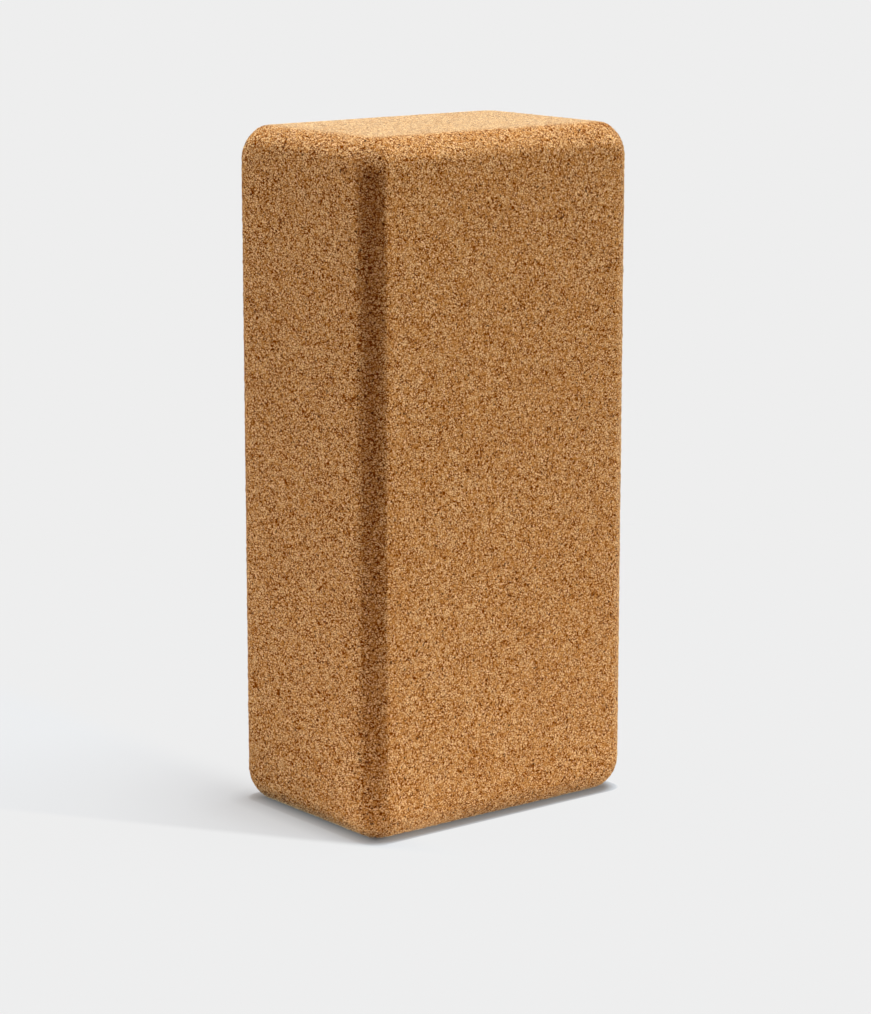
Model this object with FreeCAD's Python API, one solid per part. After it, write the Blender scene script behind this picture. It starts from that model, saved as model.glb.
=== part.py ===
import FreeCAD, Part
import os

# A cork yoga block. Cork granules and binder are pressed into one solid mass, which is sawn square, rounded
# over on every edge and sanded flat on its six faces, so the whole object is a single piece.
# It stands on one end, with +Z up and the origin at the middle of that end.
# The wide faces look along -Y and +Y, and the narrow sides along -X and +X. Millimetres.

# Driving dimensions
LENGTH = 228.6  # from end to end, upright along Z
WIDTH = 111.0  # across a wide face, along X
THICKNESS = 75.0  # from one wide face to the other, along Y
ROUNDOVER_RADIUS = 12.0  # of the twelve edges; where three meet, the corner is part of a ball
SANDED_OFF = 0.7  # taken off each face after the edges are rounded, which leaves a crease along each roundover


def square_block(margin):
    """A square-edged block, centred in plan, whose faces stand margin outside the finished ones."""
    corner = FreeCAD.Vector(-WIDTH / 2 - margin, -THICKNESS / 2 - margin, -margin)
    return Part.makeBox(WIDTH + 2 * margin, THICKNESS + 2 * margin, LENGTH + 2 * margin, corner)


def cork_block():
    """The sawn blank with all its edges rounded over, then sanded down to the finished faces."""
    blank = square_block(SANDED_OFF)
    rounded = blank.makeFillet(ROUNDOVER_RADIUS, blank.Edges)
    sanded = rounded.common(square_block(0))
    return sanded.Solids[0]


PIECES = {"cork_block": cork_block}

os.makedirs("parts", exist_ok=True)
for node, make in PIECES.items():
    solid = make()
    box = solid.optimalBoundingBox(False, False)
    solid.exportStep(os.path.join("parts", node + ".step"))
    print(f"{node}: {box.XLength:.1f} x {box.YLength:.1f} x {box.ZLength:.1f} mm, {solid.Volume / 1e6:.4f} L")
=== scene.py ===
import math

import bpy
import numpy as np
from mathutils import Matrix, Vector


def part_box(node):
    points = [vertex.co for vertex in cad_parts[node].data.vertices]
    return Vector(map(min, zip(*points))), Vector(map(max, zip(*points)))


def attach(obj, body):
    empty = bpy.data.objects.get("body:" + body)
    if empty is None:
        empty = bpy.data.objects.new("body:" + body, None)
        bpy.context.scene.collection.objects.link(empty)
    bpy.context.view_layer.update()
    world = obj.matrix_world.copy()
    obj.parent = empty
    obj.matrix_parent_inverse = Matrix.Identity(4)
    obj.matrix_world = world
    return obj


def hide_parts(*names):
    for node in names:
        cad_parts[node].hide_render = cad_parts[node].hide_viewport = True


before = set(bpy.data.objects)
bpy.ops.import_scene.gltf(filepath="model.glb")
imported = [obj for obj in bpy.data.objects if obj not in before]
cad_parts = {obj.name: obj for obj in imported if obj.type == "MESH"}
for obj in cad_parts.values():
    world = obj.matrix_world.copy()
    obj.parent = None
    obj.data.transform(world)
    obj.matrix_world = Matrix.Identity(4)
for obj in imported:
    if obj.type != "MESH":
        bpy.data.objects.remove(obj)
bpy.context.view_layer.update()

MM = 0.001
SEED = 20260
BLACK = (0.0, 0.0, 0.0, 1.0)
WHITE = (1.0, 1.0, 1.0, 1.0)

# The block's surface mesh
FLAT_STEP = 1.20 * MM  # lattice step on the sanded faces
EDGE_STEP = 0.4 * MM  # lattice step on a sanded face beside a crease
ARC_STEPS = 12  # lattice steps in half of a roundover
CREASE = math.radians(19.7)  # turn between a sanded face and the roundover beside it, as in the CAD
EASE_WIDE = 0.35 * MM  # how softly the wide faces roll over at a crease
EASE_SIDE = 1.20 * MM  # the same on the other four faces
JITTER = 0.32  # how far a lattice point strays, as a share of its step
PIT_SHARE = 0.18  # share of the points of a sanded face where a granule has torn out
PIT_DEPTH = 0.05 * MM  # mean depth of such a pit
PIT_DEEPEST = 0.35 * MM
ROUNDOVER_RELIEF = 0.075 * MM  # standard height of the routed granules on the roundovers
ROUNDOVER_BLEND = 0.005  # share of the radius over which the relief of a face turns into a roundover's
SHEET_GAP = 3 * MM  # between the six sides on the texture sheet

# The camera of the photograph
PHOTO_LONG_SIDE = 1014  # pixels
SENSOR = 36.0  # mm, along that side
FOCAL_PIXELS = 3186.0
VIEW_AZIMUTH = -38.3  # degrees
VIEW_ELEVATION = 11.8
VIEW_DISTANCE = 1072 * MM
AIM_HEIGHT = 99.7 * MM
AIM_RIGHT = 0.4 * MM

# The stage: a softly glowing table in an even grey room
BACKGROUND = 0.855  # linear grey of the table and the room, as they are seen
TABLE_SIZE = 12.0
TABLE_COLOUR = (0.37, 0.445, 0.51, 1.0)  # where the lamps light it, mixed into the even grey as a share
PAINTED_CONTACT_SHADE = 0.5  # painted shade: share of that colour which is left right beside the flat that the block stands on
# The lit share at each distance in mm from that flat, in the shadow and on the open sides
SHADED_SHARE = ((0, 0.97), (5, 0.70), (7.3, 0.60), (14, 0.40), (30, 0.28), (60, 0.20))
OPEN_SHARE = ((0, 0.88), (6.0, 0.76), (6.8, 0.04), (60, 0.02))
SHARE_REACH = 60  # mm
SHADE_EDGE_AZIMUTH = -56.3  # degrees, square to the near edge of the shadow
SHADE_BLUR = 3 * MM
SHADE_START, SHADE_FULL = 15 * MM, -10 * MM  # from the left edge of the flat, inwards
LIT_RADIUS, FADE_RADIUS = 0.25, 0.45  # the table is an even grey from the second on
BOUNCE = 0.50  # share of the lamps' light that the table throws back up at the block
GLOW = 0.395  # light of its own that it throws up
BOUNCE_RADIUS, BOUNCE_END = 0.10, 0.50  # both fade from the first to the second
SHADED_BOUNCE = 0.15  # share of both that is left in the shadow
CORNER_GLOW, CORNER_REACH = 3.5, 40 * MM  # its own light is so many times stronger beside the nearest corner
AMBIENT = 0.345
ROOM_TINT = (1.0, 0.34, 0.04, 1.0)  # the room fills the shaded sides with warm light
TABLE_TINT = (0.89, 0.79, 0.71, 1.0)  # and the table with a paler one


def srgb(red, green, blue):
    """A colour given in 0 to 255 display values, as linear RGBA."""
    def linear(value):
        value /= 255
        return value / 12.92 if value <= 0.04045 else ((value + 0.055) / 1.055) ** 2.4
    return linear(red), linear(green), linear(blue), 1.0


def away(azimuth, elevation):
    """Unit vector from the object towards a viewer or lamp. Azimuth 0 stands in front, at -Y; degrees."""
    a, e = math.radians(azimuth), math.radians(elevation)
    return Vector((math.sin(a) * math.cos(e), -math.cos(a) * math.cos(e), math.sin(e)))


# Cork: sizes in mm, noise scales per mm

CHIP_SIZE = 2.0  # the larger granules, some cut smooth and some crumbled
GRAIN_SIZE = 1.2  # the patches of one grain direction
CRUMB_SIZE = 0.60  # the crumbs in a chip, across the grain
CRUMB_STRETCH = 0.45  # share by which the grain's length is drawn in before the crumbs are laid out
THROUGH = 0.72  # scale along the block's thickness, as the granules lie lengthwise through it
FRAY_SCALE = 0.9
CHIP_FRAY, SPECK_FRAY = 0.9, 1.2  # how far the fray moves the chips' and the specks' outlines
SMOOTH_DRAW = (0.20, 0.70)  # a chip is crumbled below the first draw, and cut smooth above the second
SMOOTH_RIM = (0.1, 0.6)  # over which distance from its edge a smooth chip gets smooth
GAP_SCALE = 1.1  # the gaps between crumbs are wider here and narrower there
GAP_NOISE = (0.40, 0.62)
GAP_WIDTH = (0.19, 0.25)  # of a crumb's size
GAP_DRAW = (0.35, 0.65)
GAP_DEPTH = (2.0, 3.6)  # how far a gap lowers the tone, for a low and a high draw
CRUMB_CONTRAST = 0.55  # spread of the crumbs' own tones
SMOOTH_CONTRAST = 0.85  # share of the contrast that is left on the smooth chips
CHIP_SHIFT = (-0.06, 0.04)  # by which their tones differ
SAWN_CONTRAST = 1.35  # times the contrast on the faces that cut across the granules
DRIFT_SCALE = 0.07
DRIFT_TONE = (0.60, 0.68)  # mean tone, which drifts slowly over the block
CHIP_SHARE = 0.34  # share of a smooth chip's own colour
FLECK_SIZE = 1.0  # between the places where a dark or light fleck can lie
FLECK_RADIUS = (0.30, 0.33)
CLUSTER_SCALE = 0.22  # the dark flecks lie in loose clusters
CLUSTER_NOISE = (0.38, 0.62)
DARK_DRAW = (0.92, 0.60)  # a place whose draw is above this holds a dark fleck, outside and in a cluster
PALE_DRAW = (0.15, 0.13)  # and below this a pale one
DARK_SHARE, PALE_SHARE = 0.9, 0.7
SPECK_SIZE = 2.6  # between the places where a speck of bark or straw-coloured cork can lie
BARK_DRAW, BARK_RADIUS, BARK_SHARE = (0.80, 0.81), (0.38, 0.48), 0.9
STRAW_DRAW, STRAW_RADIUS, STRAW_SHARE = (0.95, 0.96), (0.40, 0.60), 0.75
TONE_HEIGHT = 0.11  # from the darkest to the palest tone
FLECK_SUNK, BARK_SUNK = 0.08, 0.10
FACE_BUMP, ROUNDOVER_BUMP = 0.70, 1.0
CRUMB_ROUGHNESS = 0.80
FACE_ROUGHNESS, ROUNDOVER_ROUGHNESS = 0.60, 0.70  # of the smooth chips
CORK_TONES = (
    (0.00, srgb(102, 48, 0)),
    (0.25, srgb(138, 86, 6)),
    (0.50, srgb(166, 118, 57)),
    (0.75, srgb(186, 142, 83)),
    (1.00, srgb(214, 183, 133)),
)
CHIP_TONES = (
    (0.00, srgb(165, 116, 56)),
    (0.50, srgb(175, 127, 68)),
    (1.00, srgb(185, 139, 80)),
)
FLECK_BROWN = srgb(76, 28, 0)
FLECK_PALE = srgb(220, 188, 149)
BARK_BROWN = srgb(64, 26, 0)
STRAW_CORK = srgb(205, 170, 112)
SHEEN_TINT = (0.88, 1.0, 0.76, 1.0)


class Graph:
    """A node tree, with short calls that add a node, join its inputs and give back an output."""

    def __init__(self, tree):
        self.tree = tree
        tree.nodes.clear()

    def put(self, socket, value):
        """Joins the socket to an output, or sets it to a value."""
        if isinstance(value, bpy.types.NodeSocket):
            self.tree.links.new(value, socket)
        else:
            socket.default_value = value

    def add(self, kind, inputs=(), **settings):
        node = self.tree.nodes.new(kind)
        for name, value in settings.items():
            setattr(node, name, value)
        for key, value in dict(inputs).items():
            self.put(node.inputs[key], value)
        return node

    def math(self, operation, a, b=0.0, clamp=False):
        return self.add("ShaderNodeMath", {0: a, 1: b}, operation=operation, use_clamp=clamp).outputs[0]

    def inverse(self, share):
        return self.math("SUBTRACT", 1.0, share)

    def vector(self, operation, a, b=(0.0, 0.0, 0.0)):
        return self.add("ShaderNodeVectorMath", {0: a, 1: b}, operation=operation).outputs["Vector"]

    def measure(self, operation, a, b=(0.0, 0.0, 0.0)):
        return self.add("ShaderNodeVectorMath", {0: a, 1: b}, operation=operation).outputs["Value"]

    def scaled(self, vector, factor):
        inputs = {0: vector, "Scale": factor}
        return self.add("ShaderNodeVectorMath", inputs, operation="SCALE").outputs["Vector"]

    def span(self, value, low, high, to_low=0.0, to_high=1.0, smooth=True):
        kind = "SMOOTHSTEP" if smooth else "LINEAR"
        inputs = {"Value": value, "From Min": low, "From Max": high, "To Min": to_low, "To Max": to_high}
        return self.add("ShaderNodeMapRange", inputs, interpolation_type=kind).outputs["Result"]

    def blend(self, share, a, b):
        return self.span(share, 0.0, 1.0, a, b, smooth=False)

    def noise(self, place, scale, detail):
        return self.add("ShaderNodeTexNoise", {"Vector": place, "Scale": scale, "Detail": detail}).outputs

    def cells(self, place, size, feature="F1"):
        inputs = {"Vector": place, "Scale": 1.0 / size, "Randomness": 1.0}
        return self.add("ShaderNodeTexVoronoi", inputs, feature=feature).outputs

    def parts(self, colour):
        return self.add("ShaderNodeSeparateColor", {"Color": colour}).outputs

    def mix(self, share, a, b):
        """A mix of two colours. The node's colour sockets come after those for numbers and vectors."""
        node = self.add("ShaderNodeMix", data_type="RGBA", clamp_result=True)
        for socket, value in zip((node.inputs[0], node.inputs[6], node.inputs[7]), (share, a, b)):
            self.put(socket, value)
        return node.outputs[2]

    def ramp(self, value, stops):
        node = self.add("ShaderNodeValToRGB", {"Fac": value})
        elements = node.color_ramp.elements
        while len(elements) < len(stops):
            elements.new(0.5)
        for element, (position, colour) in zip(elements, stops):
            element.position = position
            element.color = colour
        return node.outputs["Color"]

    def centred(self, colour):
        """A random colour as a vector about zero."""
        return self.vector("SUBTRACT", colour, (0.5, 0.5, 0.5))


def cork_material():
    """Fine granules of cork cut through at random, each with its own grain, with dark gaps and flecks."""
    material = bpy.data.materials.new("cork")
    material.use_nodes = True
    g = Graph(material.node_tree)
    place = g.add("ShaderNodeTexCoord").outputs["Object"]
    place = g.vector("MULTIPLY", place, (1 / MM, THROUGH / MM, 1 / MM))
    roundover = g.add("ShaderNodeAttribute", attribute_name="roundover").outputs["Fac"]
    sawn = g.add("ShaderNodeAttribute", attribute_name="sawn").outputs["Fac"]

    # Outlines wander a little, so that no edge is straight
    fray = g.centred(g.noise(place, FRAY_SCALE, 1.0)["Color"])
    loose = g.vector("ADD", place, g.scaled(fray, CHIP_FRAY))

    # Chips, the larger granules
    chip_cells = g.cells(loose, CHIP_SIZE)
    chip = g.parts(chip_cells["Color"])
    chip_second = g.cells(loose, CHIP_SIZE, "F2")["Distance"]
    chip_edge = g.math("MULTIPLY", g.math("SUBTRACT", chip_second, chip_cells["Distance"]), CHIP_SIZE)
    smooth = g.math("MULTIPLY", g.span(chip[0], *SMOOTH_DRAW), g.span(chip_edge, *SMOOTH_RIM))

    # The grain of the crumbs, in a direction of its own in each patch
    patch = g.cells(loose, GRAIN_SIZE)["Color"]
    lean = g.vector("NORMALIZE", g.centred(patch))
    along = g.measure("DOT_PRODUCT", place, lean)
    drawn_in = g.scaled(lean, g.math("MULTIPLY", along, -CRUMB_STRETCH))
    rows = g.vector("ADD", place, drawn_in)
    crumb_cells = g.cells(rows, CRUMB_SIZE)
    crumb = g.parts(crumb_cells["Color"])
    crumb_second = g.cells(rows, CRUMB_SIZE, "F2")["Distance"]
    crumb_edge = g.math("SUBTRACT", crumb_second, crumb_cells["Distance"])
    gap_width = g.span(g.noise(place, GAP_SCALE, 1.0)["Fac"], *GAP_NOISE, *GAP_WIDTH)
    gap = g.inverse(g.span(crumb_edge, 0.0, gap_width))

    # Each crumb's own tone, with dark gaps between, both a little fainter on the smooth chips
    sunk = g.math("MULTIPLY", gap, g.span(crumb[1], *GAP_DRAW, *GAP_DEPTH))
    busy_tone = g.math("SUBTRACT", g.math("MULTIPLY", crumb[0], CRUMB_CONTRAST), sunk)
    smooth_tone = g.math("ADD", g.math("MULTIPLY", busy_tone, SMOOTH_CONTRAST), g.blend(chip[1], *CHIP_SHIFT))
    drift = g.noise(place, DRIFT_SCALE, 2.0)["Fac"]
    tone = g.math("MULTIPLY", g.blend(smooth, busy_tone, smooth_tone), g.blend(sawn, 1.0, SAWN_CONTRAST))
    tone = g.math("ADD", tone, g.blend(drift, *DRIFT_TONE), clamp=True)
    colour = g.ramp(tone, CORK_TONES)
    colour = g.mix(g.math("MULTIPLY", smooth, CHIP_SHARE), colour, g.ramp(chip[2], CHIP_TONES))

    # Dark and light flecks, short strokes along the grain
    fleck = g.cells(rows, FLECK_SIZE)
    fleck_draw = g.parts(fleck["Color"])[0]
    fleck_reach = g.math("MULTIPLY", fleck["Distance"], FLECK_SIZE)
    fleck_body = g.inverse(g.span(fleck_reach, *FLECK_RADIUS))
    rarity = g.span(g.noise(place, CLUSTER_SCALE, 1.0)["Fac"], *CLUSTER_NOISE, *DARK_DRAW)
    dark = g.math("MULTIPLY", fleck_body, g.math("GREATER_THAN", fleck_draw, rarity))
    pale = g.math("MULTIPLY", fleck_body, g.span(fleck_draw, *PALE_DRAW))
    colour = g.mix(g.math("MULTIPLY", dark, DARK_SHARE), colour, FLECK_BROWN)
    colour = g.mix(g.math("MULTIPLY", pale, PALE_SHARE), colour, FLECK_PALE)

    # Sparse specks of bark and of pale straw-coloured cork
    speck = g.cells(g.vector("ADD", place, g.scaled(fray, SPECK_FRAY)), SPECK_SIZE)
    speck_draw = g.parts(speck["Color"])
    speck_reach = g.math("MULTIPLY", speck["Distance"], SPECK_SIZE)
    bark_body = g.inverse(g.span(speck_reach, *BARK_RADIUS))
    bark = g.math("MULTIPLY", g.span(speck_draw[0], *BARK_DRAW), bark_body)
    straw_body = g.inverse(g.span(speck_reach, *STRAW_RADIUS))
    straw = g.math("MULTIPLY", g.span(speck_draw[1], *STRAW_DRAW), straw_body)
    colour = g.mix(g.math("MULTIPLY", straw, STRAW_SHARE), colour, STRAW_CORK)
    colour = g.mix(g.math("MULTIPLY", bark, BARK_SHARE), colour, BARK_BROWN)

    # Relief in mm: crumbs at slightly different heights, with the flecks and specks sunk between them
    height = g.math("MULTIPLY", tone, TONE_HEIGHT)
    height = g.math("SUBTRACT", height, g.math("MULTIPLY", dark, FLECK_SUNK))
    height = g.math("SUBTRACT", height, g.math("MULTIPLY", bark, BARK_SUNK))
    strength = g.blend(roundover, FACE_BUMP, ROUNDOVER_BUMP)
    bump = g.add("ShaderNodeBump", {"Height": height, "Distance": MM, "Strength": strength})

    smooth_roughness = g.blend(roundover, FACE_ROUGHNESS, ROUNDOVER_ROUGHNESS)
    shader = g.add("ShaderNodeBsdfPrincipled", {
        "Base Color": colour,
        "Roughness": g.blend(smooth, CRUMB_ROUGHNESS, smooth_roughness),
        "Normal": bump.outputs["Normal"],
        "Specular IOR Level": 0.0,
        "Sheen Weight": 0.46,
        "Sheen Roughness": 0.20,
        "Sheen Tint": SHEEN_TINT,
    })
    g.add("ShaderNodeOutputMaterial", {"Surface": shader.outputs[0]})
    return material


def roundover_leg(node, high):
    """How far the roundovers reach onto the faces, read from the flat of the node's top."""
    points = np.array([v.co for v in node.data.vertices])
    top = points[points[:, 2] > high.z - 0.01 * MM]
    return high.x - top[:, 0].max()


def roundover_arc(leg):
    """A roundover's arc, reaching leg onto each face: its centre's depth below them, and its radius."""
    depth = leg / (1 - math.tan(CREASE))
    return depth, depth / math.cos(CREASE)


def axis_stops(half, leg):
    """Lattice stops along one axis, with the arc length at each: even on the flat, even in angle on arcs."""
    depth, radius = roundover_arc(leg)
    flat = half - leg
    inner = np.linspace(2 * EDGE_STEP - flat, flat - 2 * EDGE_STEP, round(2 * flat / FLAT_STEP) + 1)
    beside = [flat - EDGE_STEP]
    angles = np.linspace(CREASE, math.pi / 4, ARC_STEPS + 1)
    outer = half - depth + depth * np.tan(angles)
    outer_arc = flat + radius * (angles - CREASE)
    stops = np.concatenate([-outer[::-1], np.negative(beside), inner, beside, outer])
    arcs = np.concatenate([-outer_arc[::-1], np.negative(beside), inner, beside, outer_arc])
    return stops, arcs


def quad_corners(sheet):
    """The four corners of each cell of a sheet of values, in turn round the cell."""
    return np.stack([sheet[:-1, :-1], sheet[1:, :-1], sheet[1:, 1:], sheet[:-1, 1:]], axis=2)


def side_quads(number, arcs, place):
    """One sheet of outward quads for each of the six sides, with its place on a square texture sheet.
    number holds the points' numbers on the lattice, and -1 inside it."""
    wide = [2 * a.max() for a in arcs]
    sheet_size = 2 * wide[0] + 2 * wide[1] + 5 * SHEET_GAP
    quads, corners = [], []
    left = SHEET_GAP
    # The side's axis and end, and the axes across and up it: front, right, back, left, top and bottom
    sides = ((1, 0, 0, 2), (0, 1, 1, 2), (1, 1, 0, 2), (0, 0, 1, 2), (2, 1, 0, 1), (2, 0, 0, 1))
    for axis, end, across, up in sides:
        loop = quad_corners(np.take(number, -end, axis=axis)).reshape(-1, 4)
        u, v = np.meshgrid(arcs[across] + wide[across] / 2, arcs[up] + wide[up] / 2, indexing="ij")
        if axis == 2:
            u = u + (SHEET_GAP + end * (wide[0] + SHEET_GAP))
            v = v + (2 * SHEET_GAP + wide[2])
        else:
            u = u + left
            v = v + SHEET_GAP
            left += wide[across] + SHEET_GAP
        sheet = quad_corners(np.stack([u, v], axis=-1)).reshape(-1, 4, 2)
        a, b, c = (place[loop[0, k]] for k in (0, 1, 3))
        outwards = 1 if end else -1
        if np.cross(b - a, c - a)[axis] * outwards < 0:
            loop, sheet = loop[:, ::-1], sheet[:, ::-1]
        quads.append(loop)
        corners.append(sheet)
    return np.concatenate(quads), np.concatenate(corners).reshape(-1, 2) / sheet_size


def block_surface(name, low, high, leg):
    """A closed skin of fine quads over the rounded block, pitted on its faces and rough on its roundovers."""
    draw = np.random.default_rng(SEED)
    half = np.array((high - low) / 2)
    centre = np.array((high + low) / 2)
    depth, radius = roundover_arc(leg)
    stops, arcs = zip(*(axis_stops(h, leg) for h in half))
    counts = [len(s) for s in stops]

    # The lattice points that lie on the surface, each with its own number
    grid = np.stack(np.meshgrid(*(np.arange(n) for n in counts), indexing="ij"), axis=-1)
    at_end = (grid == 0) | (grid == np.array(counts) - 1)
    on_skin = at_end.any(axis=-1)
    number = np.full(counts, -1)
    number[on_skin] = np.arange(on_skin.sum())
    index = grid[on_skin]
    at_end = at_end[on_skin]

    # Their places, strayed within the skin, then drawn in to the rounded shape
    place = np.stack([stops[a][index[:, a]] for a in range(3)], axis=1)
    room = [np.minimum(np.diff(s, prepend=s[0]), np.diff(s, append=s[-1])) for s in stops]
    room = np.stack([room[a][index[:, a]] for a in range(3)], axis=1)
    place += draw.uniform(-JITTER, JITTER, place.shape) * np.where(at_end, 0, room)
    core = np.clip(place, depth - half, half - depth)
    out = place - core
    reach = np.linalg.norm(out, axis=1, keepdims=True)
    facing = np.where(at_end, np.sign(place), 0)
    normal = np.where(reach > radius, out / reach, facing)

    # A smooth minimum of the reach and the radius eases the creases
    ease = np.where(at_end[:, 1:2], EASE_WIDE, EASE_SIDE)
    flatness = np.clip(0.5 + (radius - reach) / (2 * ease), 0, 1)
    eased = flatness * reach + (1 - flatness) * radius - ease * flatness * (1 - flatness)
    place = core + out * eased / reach

    # Relief: sanded faces have only pits, and the roundovers are rough
    roundover = np.clip((reach[:, 0] / radius - 1) / ROUNDOVER_BLEND, 0, 1)
    pits = np.minimum(draw.exponential(PIT_DEPTH, len(place)), PIT_DEEPEST)
    pits *= draw.random(len(place)) < PIT_SHARE
    rough = draw.normal(0, ROUNDOVER_RELIEF, len(place))
    lift = roundover * rough - (1 - roundover) * pits
    place = np.clip(place + normal * lift[:, None], -half, half) + centre

    quads, corners = side_quads(number, arcs, place)
    mesh = bpy.data.meshes.new(name)
    mesh.from_pydata(place.tolist(), [], quads.tolist())
    mesh.shade_smooth()
    mesh.uv_layers.new(name="OFBake").uv.foreach_set("vector", corners.astype(np.float32).ravel())
    sawn = 1 - np.abs(normal[:, 1])
    for attribute, values in (("roundover", roundover), ("sawn", sawn)):
        mesh.attributes.new(attribute, "FLOAT", "POINT").data.foreach_set("value", values.astype(np.float32))
    block = bpy.data.objects.new(name, mesh)
    bpy.context.scene.collection.objects.link(block)
    return block


def seen_directly(g):
    """1 for a ray from the camera, also by way of a reflection or through glass, and 0 for light."""
    path = g.add("ShaderNodeLightPath").outputs
    mirrored = g.math("MAXIMUM", path["Is Glossy Ray"], path["Is Transmission Ray"])
    return g.math("MAXIMUM", path["Is Camera Ray"], mirrored)


def lit_share(g, distance, shares):
    """The lit share of the table's grey at a distance, which counts from 0 to 1 over SHARE_REACH."""
    return g.ramp(distance, [(mm / SHARE_REACH, (share, share, share, 1)) for mm, share in shares])


def table_material(flat, overhang):
    """Pale table whose glow leaves only a faint shadow, deeper below the overhang around the block's flat,
    where shade is also painted into its colour.
    """
    material = bpy.data.materials.new("table")
    material.use_nodes = True
    g = Graph(material.node_tree)
    place = g.add("ShaderNodeTexCoord").outputs["Object"]
    reach = g.measure("LENGTH", place)
    outside = g.vector("SUBTRACT", g.vector("ABSOLUTE", place), flat)
    outside = g.measure("LENGTH", g.vector("MAXIMUM", outside))

    # The shadow lies on the left, behind a line from the nearest corner
    near_corner = Vector((-flat.x, -flat.y, 0))
    across = g.add("ShaderNodeSeparateXYZ", {0: place}).outputs["X"]
    shaded = g.span(across, SHADE_START - flat.x, SHADE_FULL - flat.x)
    square = away(SHADE_EDGE_AZIMUTH, 0)
    edge = square.dot(near_corner) + overhang
    nearer = g.measure("DOT_PRODUCT", place, square)
    shaded = g.math("MULTIPLY", shaded, g.span(nearer, edge + SHADE_BLUR, edge - SHADE_BLUR))

    # As it is seen: an even grey, with a share that the lamps light and the block shades
    distance = g.span(outside, 0, SHARE_REACH * MM, smooth=False)
    share = g.blend(shaded, lit_share(g, distance, OPEN_SHARE), lit_share(g, distance, SHADED_SHARE))
    share = g.math("MULTIPLY", share, g.span(reach, LIT_RADIUS, FADE_RADIUS, 1.0, 0.0))
    # Painted shade: the lit colour darkens from the edge of the overhang in to the flat
    colour = g.mix(g.span(outside, 0, overhang, PAINTED_CONTACT_SHADE, 1.0, smooth=False), BLACK, TABLE_COLOUR)
    even = g.add("ShaderNodeEmission", {"Color": WHITE, "Strength": BACKGROUND})
    lit = g.add("ShaderNodeBsdfDiffuse", {"Color": colour})
    seen = g.add("ShaderNodeMixShader", {0: share, 1: even.outputs[0], 2: lit.outputs[0]})

    # As it lights the block
    fade = g.span(reach, BOUNCE_RADIUS, BOUNCE_END, 1.0, 0.0)
    fade = g.math("MULTIPLY", fade, g.blend(shaded, 1.0, SHADED_BOUNCE))
    thrown_back = g.mix(g.math("MULTIPLY", fade, BOUNCE), BLACK, TABLE_TINT)
    bounce = g.add("ShaderNodeBsdfDiffuse", {"Color": thrown_back})
    apart = g.measure("DISTANCE", place, near_corner)
    strength = g.math("MULTIPLY", fade, g.span(apart, 0, CORNER_REACH, GLOW * CORNER_GLOW, GLOW))
    glow = g.add("ShaderNodeEmission", {"Color": TABLE_TINT, "Strength": strength})
    thrown = g.add("ShaderNodeAddShader", {0: bounce.outputs[0], 1: glow.outputs[0]})

    shader = g.add("ShaderNodeMixShader", {0: seen_directly(g), 1: thrown.outputs[0], 2: seen.outputs[0]})
    g.add("ShaderNodeOutputMaterial", {"Surface": shader.outputs[0]})
    material.cycles.emission_sampling = "NONE"
    return material


def table(flat, overhang):
    """The table that the block stands on."""
    r = TABLE_SIZE / 2
    mesh = bpy.data.meshes.new("table")
    mesh.from_pydata([(-r, -r, 0), (r, -r, 0), (r, r, 0), (-r, r, 0)], [], [(0, 1, 2, 3)])
    mesh.materials.append(table_material(flat, overhang))
    top = bpy.data.objects.new("table", mesh)
    bpy.context.scene.collection.objects.link(top)


def surroundings():
    """An even grey room: what is seen of it is the table's grey, and what lights the block is dimmer."""
    world = bpy.data.worlds.new("studio")
    world.use_nodes = True
    bpy.context.scene.world = world
    g = Graph(world.node_tree)
    direct = seen_directly(g)
    level = g.blend(direct, AMBIENT, BACKGROUND)
    colour = g.mix(direct, ROOM_TINT, WHITE)
    room = g.add("ShaderNodeBackground", {"Color": colour, "Strength": level})
    g.add("ShaderNodeOutputWorld", {"Surface": room.outputs[0]})


def softbox(name, bearing, elevation, spread, level):
    """A large distant lamp. A white face square to it renders at level, where 1 is white.
    bearing counts from the camera to its right, and spread is how wide the lamp looks; degrees."""
    data = bpy.data.lights.new(name, "SUN")
    data.angle = math.radians(spread)
    data.energy = level * math.pi
    lamp = bpy.data.objects.new(name, data)
    lamp.rotation_euler = away(VIEW_AZIMUTH + bearing, elevation).to_track_quat("Z", "Y").to_euler()
    bpy.context.scene.collection.objects.link(lamp)


def camera():
    """The photograph's camera, level from side to side."""
    data = bpy.data.cameras.new("camera")
    data.sensor_width = SENSOR
    data.lens = FOCAL_PIXELS / PHOTO_LONG_SIDE * SENSOR
    data.clip_start = 0.01
    data.clip_end = 100.0
    cam = bpy.data.objects.new("camera", data)
    back = away(VIEW_AZIMUTH, VIEW_ELEVATION)
    right = away(VIEW_AZIMUTH + 90, 0)
    cam.location = Vector((0, 0, AIM_HEIGHT)) + right * AIM_RIGHT + back * VIEW_DISTANCE
    cam.rotation_euler = back.to_track_quat("Z", "Y").to_euler()
    bpy.context.scene.collection.objects.link(cam)
    bpy.context.scene.camera = cam


node_low, node_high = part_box("cork_block")
leg = roundover_leg(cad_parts["cork_block"], node_high)
block = block_surface("cork_block_surface", node_low, node_high, leg)
block.data.materials.append(cork_material())
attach(block, "root")
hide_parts("cork_block")

table(Vector((node_high.x - leg, node_high.y - leg, 0)), leg)
surroundings()
softbox("top_light", bearing=92, elevation=76, spread=35, level=1.50)
softbox("right_light", bearing=96, elevation=8, spread=36, level=1.05)
softbox("left_light", bearing=-100, elevation=12, spread=34, level=1.01)
camera()
bpy.context.scene.view_settings.view_transform = "Standard"
